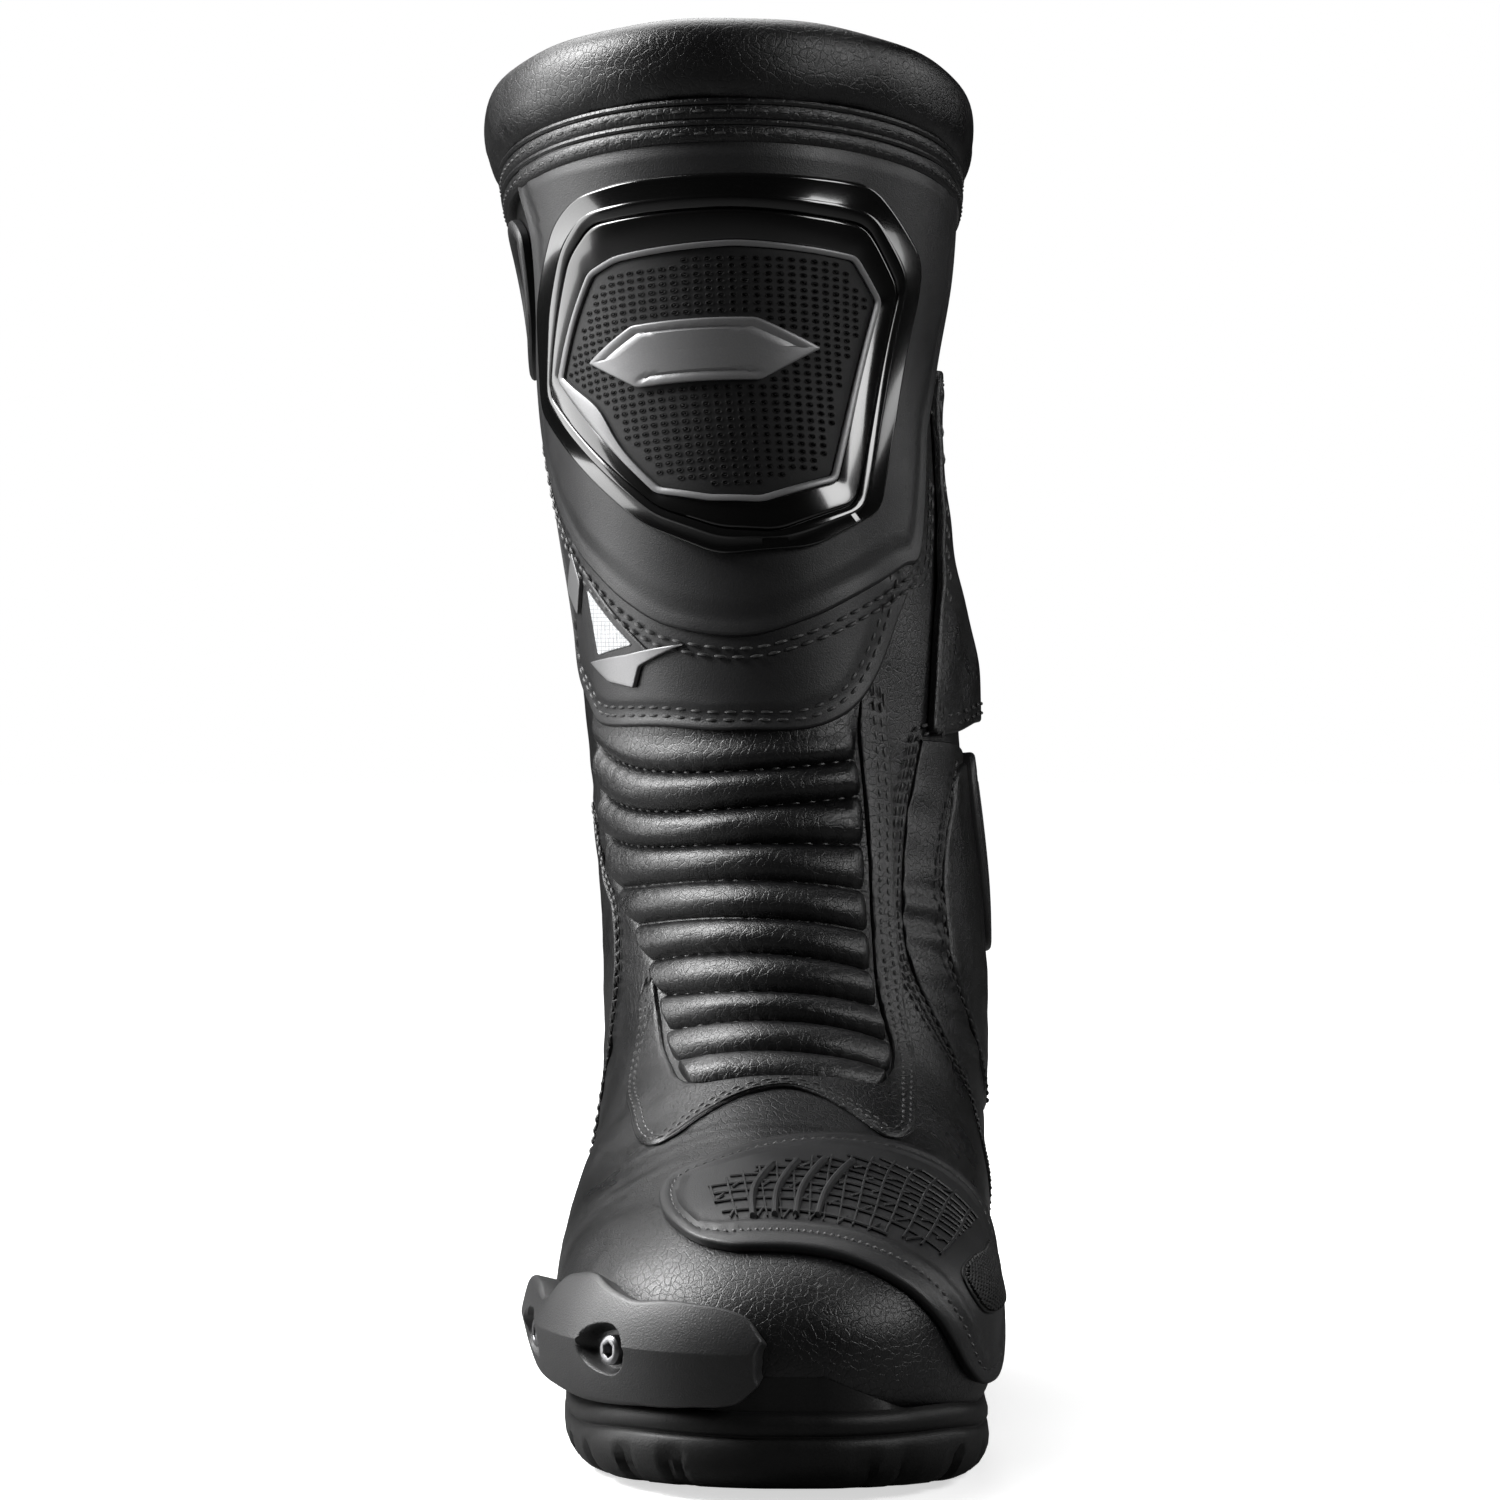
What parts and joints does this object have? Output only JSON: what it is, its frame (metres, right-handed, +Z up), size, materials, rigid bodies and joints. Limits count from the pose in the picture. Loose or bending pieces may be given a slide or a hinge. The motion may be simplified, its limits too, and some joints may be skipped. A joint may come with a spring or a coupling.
{
  "type": "riding boot",
  "caption": "Tall motorcycle racing boot with a padded collar, moulded shin guard, ribbed flexing instep, shift pad, bolt-on toe slider, zip under a flap and a cupped rubber sole.",
  "frame": {"origin": "middle of the heel's flat underside, on the ground", "axes": "+Z up the leg, -Y towards the toe, +X towards the inner side of the leg (a right boot)"},
  "size_m": [0.1391, 0.3345, 0.3635],
  "materials": {
    "leather": "black grained synthetic leather, semi-matt, fine creases",
    "soft_leather": "softer black leather over padding, semi-matt",
    "lining": "black woven lining",
    "plate_matte": "black moulded polyurethane, matt with a fine texture",
    "frame_gloss": "black gloss plastic",
    "trim_satin": "satin dark silver-grey plastic",
    "slider_plastic": "dark grey nylon, matt, finely grained",
    "reflective": "silver-white retroreflective film",
    "rubber": "black rubber, matt",
    "steel": "plated steel",
    "mesh": "black plastic mesh",
    "webbing": "black woven polyester",
    "board": "pressed fibre board and foam"
  },
  "bodies": {
    "foot": {"outsole": "rubber", "steel_shank": "steel", "slider_screw_front": "steel", "slider_screw_rear": "steel", "toe_slider": "slider_plastic", "foot_shell": "leather", "foot_lining": "lining", "toe_puff": "board", "slider_nut_plate": "steel", "insole_board": "board", "heel_counter": "board", "footbed": "board", "shift_pad": "plate_matte", "shift_pad_mesh": "mesh", "heel_cup": "plate_matte", "instep_overlay": "leather", "rib_panel": "soft_leather", "ankle_side_inner": "leather", "ankle_side_outer": "leather", "achilles_bellows": "soft_leather", "ankle_lining": "lining"},
    "shaft": {"shaft_shell": "leather", "shaft_lining": "lining", "shin_foam": "board", "zip_tape_front": "webbing", "zip_tape_rear": "webbing", "zip_teeth_front": "plate_matte", "zip_teeth_rear": "plate_matte", "zip_stop": "steel", "loop_strip": "webbing", "upper_shin_plate": "plate_matte", "lower_shin_plate": "plate_matte", "outer_shin_frame": "frame_gloss", "inner_shin_frame": "frame_gloss", "shin_trim_ring": "trim_satin", "shin_insert": "plate_matte", "shin_badge": "trim_satin", "reflector": "reflective", "accent_blade_lower": "trim_satin", "accent_blade_upper": "trim_satin", "side_vent_bezel": "plate_matte", "side_vent_mesh": "mesh", "ankle_guard": "plate_matte", "calf_guard": "plate_matte", "pull_loop": "webbing", "collar_pad": "soft_leather"},
    "slider": {"zip_slider": "steel"},
    "pull": {"zip_pull": "steel"},
    "flap": {"zip_flap": "leather", "hook_strip": "webbing"}
  },
  "joints": [
    {"name": "ankle_flex", "type": "hinge", "parent": "foot", "child": "shaft", "pos_m": [0.0025, -0.015, 0.1], "axis": [1, 0, 0], "range_deg": [-15, 20], "stiffness_Nm_per_rad": 8, "deforming": ["rib_panel", "ankle_side_inner", "ankle_side_outer", "achilles_bellows", "ankle_lining"]},
    {"name": "zip_slide", "type": "slide", "parent": "shaft", "child": "slider", "axis": [0.0335, -0.1086, -0.9935], "range_m": [0, 0.125]},
    {"name": "zip_pull_swing", "type": "hinge", "parent": "slider", "child": "pull", "pos_m": [0.04082, 0.02011, 0.2941], "axis": [0.3381, -0.9342, 0.1135], "range_deg": [0, 150]},
    {"name": "flap_open", "type": "hinge", "parent": "shaft", "child": "flap", "pos_m": [0.0431, -0.0495, 0.2236], "axis": [-0.0214, -0.3451, -0.9383], "range_deg": [0, 110], "deforming": ["zip_flap", "hook_strip"]}
  ]
}
